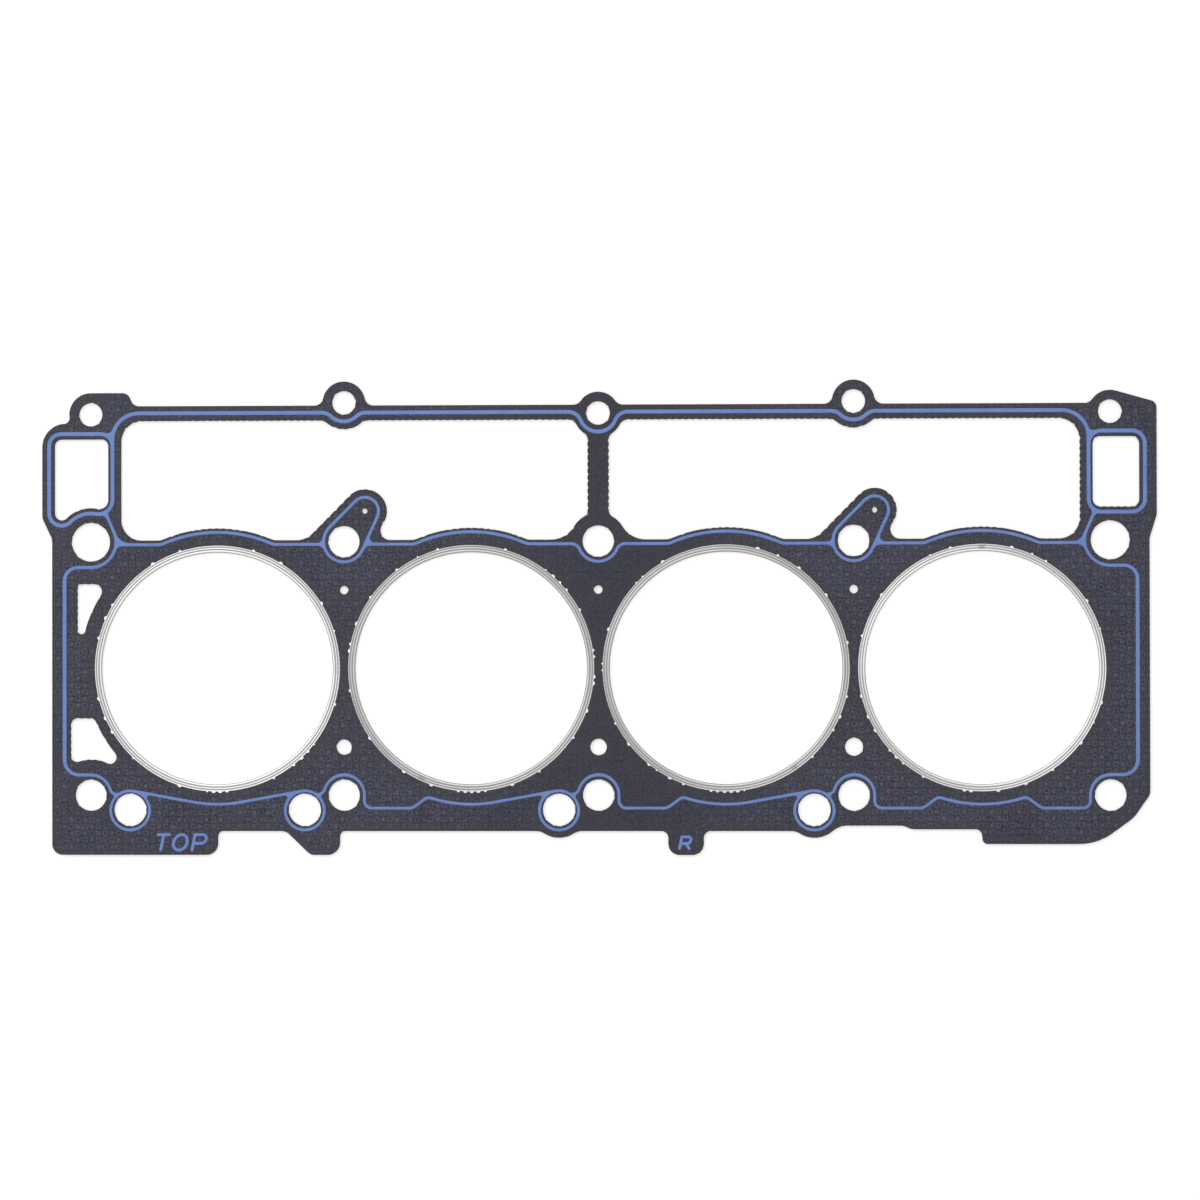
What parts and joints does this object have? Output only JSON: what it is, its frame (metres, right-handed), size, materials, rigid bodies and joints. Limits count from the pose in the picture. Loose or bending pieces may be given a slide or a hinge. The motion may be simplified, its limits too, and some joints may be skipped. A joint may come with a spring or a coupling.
{
  "type": "cylinder head gasket",
  "caption": "Flat die-cut composite gasket with steel fire rings that seals a cylinder head to one bank of a push-rod V8 block.",
  "frame": {"origin": "centre of the first cylinder bore, on the plane of the fire rings' underside", "axes": "+X along the row of bores, +Y towards the push-rod windows, +Z out of the face towards the head"},
  "size_m": [0.4955, 0.2108, 0.0016],
  "materials": {
    "facing": "matt, pressed fibre facing over a tanged steel core",
    "ring_steel": "turned"
  },
  "bodies": {
    "root": {"composite_sheet": "facing", "fire_rings": "ring_steel"}
  },
  "joints": []
}
